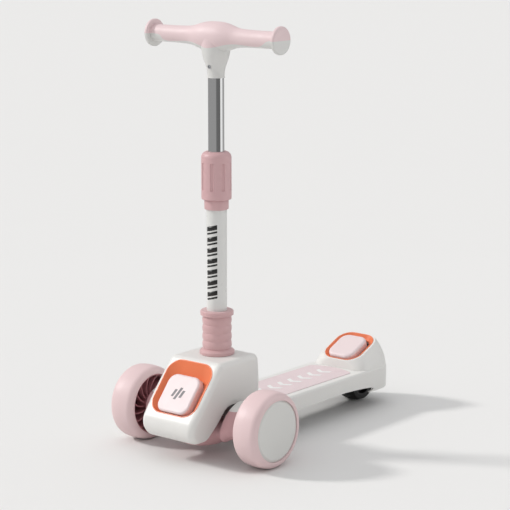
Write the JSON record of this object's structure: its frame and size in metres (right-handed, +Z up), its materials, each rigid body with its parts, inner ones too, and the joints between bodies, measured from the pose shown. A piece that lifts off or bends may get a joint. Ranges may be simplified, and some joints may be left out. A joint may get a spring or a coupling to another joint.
{
  "type": "kick scooter",
  "caption": "Child's kick scooter with two big front wheels, a small braked rear wheel, lean-to-steer truck, low deck and height-adjustable T-bar.",
  "frame": {"origin": "on the ground, in the middle of the footprint", "axes": "+Z up; the nose points along -Y; +X is the rider's left"},
  "size_m": [0.298, 0.529, 0.672],
  "materials": {
    "white_shell": "satin white ABS with a fine moulded texture",
    "white_paint": "smooth white powder coat",
    "pink_plastic": "satin pale pink polypropylene",
    "pink_soft": "matt pale pink soft plastic",
    "pink_pad": "pale pink satin pad",
    "orange_dish": "satin orange plastic",
    "tyre_pink": "matt pale pink polyurethane",
    "tyre_black": "matt black polyurethane",
    "rim_rose": "satin dusky rose nylon",
    "cap_grey": "satin light grey disc",
    "chrome_tube": "polished chrome",
    "steel": "zinc-plated steel",
    "core_aluminium": "cast aluminium",
    "dark_nylon": "dark grey nylon",
    "spring_rubber": "black rubber",
    "base_grey": "matt grey plastic"
  },
  "bodies": {
    "chassis": {"brake_hinge_pin": "steel", "brake_spring": "steel", "centring_spring_left": "spring_rubber", "centring_spring_right": "spring_rubber", "clamp_ring": "pink_plastic", "clamp_sleeve": "dark_nylon", "deck_base": "base_grey", "deck_base_screws": "steel", "deck_frame": "dark_nylon", "deck_shell": "white_shell", "front_ring": "orange_dish", "front_shell": "white_shell", "grip_mat": "pink_soft", "guide_bush": "dark_nylon", "head_block": "core_aluminium", "hinge_bolt": "steel", "hinge_nut": "steel", "lower_tube": "white_paint", "post_boot": "pink_soft", "post_cross_bolt": "steel", "push_pad_spring": "steel", "push_pad_tray": "dark_nylon", "rear_axle_bolt": "steel", "rear_axle_nut": "steel", "rear_fork": "dark_nylon", "rear_ring": "orange_dish", "rear_spacers": "steel", "saddle_bolts": "steel"},
    "truck": {"arm_covers": "white_shell", "axle_bolt_left": "steel", "axle_bolt_right": "steel", "axle_nut_left": "steel", "axle_nut_right": "steel", "hinge_bushes": "dark_nylon", "truck_housing": "pink_plastic", "wheel_spacer_left": "steel", "wheel_spacer_right": "steel"},
    "wheel_left": {"bearings_left": "steel", "hub_cap_left": "cap_grey", "rim_left": "rim_rose", "tyre_left": "tyre_pink"},
    "wheel_right": {"bearings_right": "steel", "hub_cap_right": "cap_grey", "rim_right": "rim_rose", "tyre_right": "tyre_pink"},
    "wheel_rear": {"rear_bearings": "steel", "rear_rim": "dark_nylon", "rear_tyre": "tyre_black"},
    "collar": {"clamp_collar": "pink_plastic"},
    "handlebar": {"bar_core": "steel", "bar_lower_shell": "white_shell", "bar_upper_shell": "pink_plastic", "foot_plug": "dark_nylon", "neck_screw": "steel", "upper_tube": "chrome_tube"},
    "push_pad": {"push_pad": "pink_pad"},
    "brake": {"brake_lever": "dark_nylon", "brake_pad": "pink_pad", "brake_shoe": "spring_rubber"}
  },
  "joints": [
    {"name": "truck_lean", "type": "hinge", "parent": "chassis", "child": "truck", "pos_m": [0, -0.1715, 0.066], "axis": [0, -0.788, 0.6157], "range_deg": [-9, 9], "stiffness_Nm_per_rad": 60, "deforming": ["centring_spring_left", "centring_spring_right"]},
    {"name": "left_wheel_spin", "type": "hinge", "parent": "truck", "child": "wheel_left", "pos_m": [0.126, -0.1755, 0.06], "axis": [1, 0, 0], "continuous": true},
    {"name": "right_wheel_spin", "type": "hinge", "parent": "truck", "child": "wheel_right", "pos_m": [-0.126, -0.1755, 0.06], "axis": [1, 0, 0], "continuous": true},
    {"name": "rear_wheel_spin", "type": "hinge", "parent": "chassis", "child": "wheel_rear", "pos_m": [0, 0.2245, 0.034], "axis": [1, 0, 0], "continuous": true},
    {"name": "handlebar_height", "type": "slide", "parent": "chassis", "child": "handlebar", "axis": [0, 0, 1], "range_m": [-0.1, 0.05]},
    {"name": "collar_turn", "type": "hinge", "parent": "chassis", "child": "collar", "pos_m": [0, -0.1425, 0.435], "axis": [0, 0, 1], "range_deg": [0, 90]},
    {"name": "push_pad_press", "type": "slide", "parent": "chassis", "child": "push_pad", "axis": [0, 0.766, -0.6428], "range_m": [0, 0.004], "stiffness_N_per_m": 900, "springref_m": -0.003, "deforming": ["push_pad_spring"]},
    {"name": "brake_press", "type": "hinge", "parent": "chassis", "child": "brake", "pos_m": [0, 0.17991, 0.06863], "axis": [-1, 0, 0], "range_deg": [0, 5], "stiffness_Nm_per_rad": 6, "springref_deg": -2.86}
  ]
}
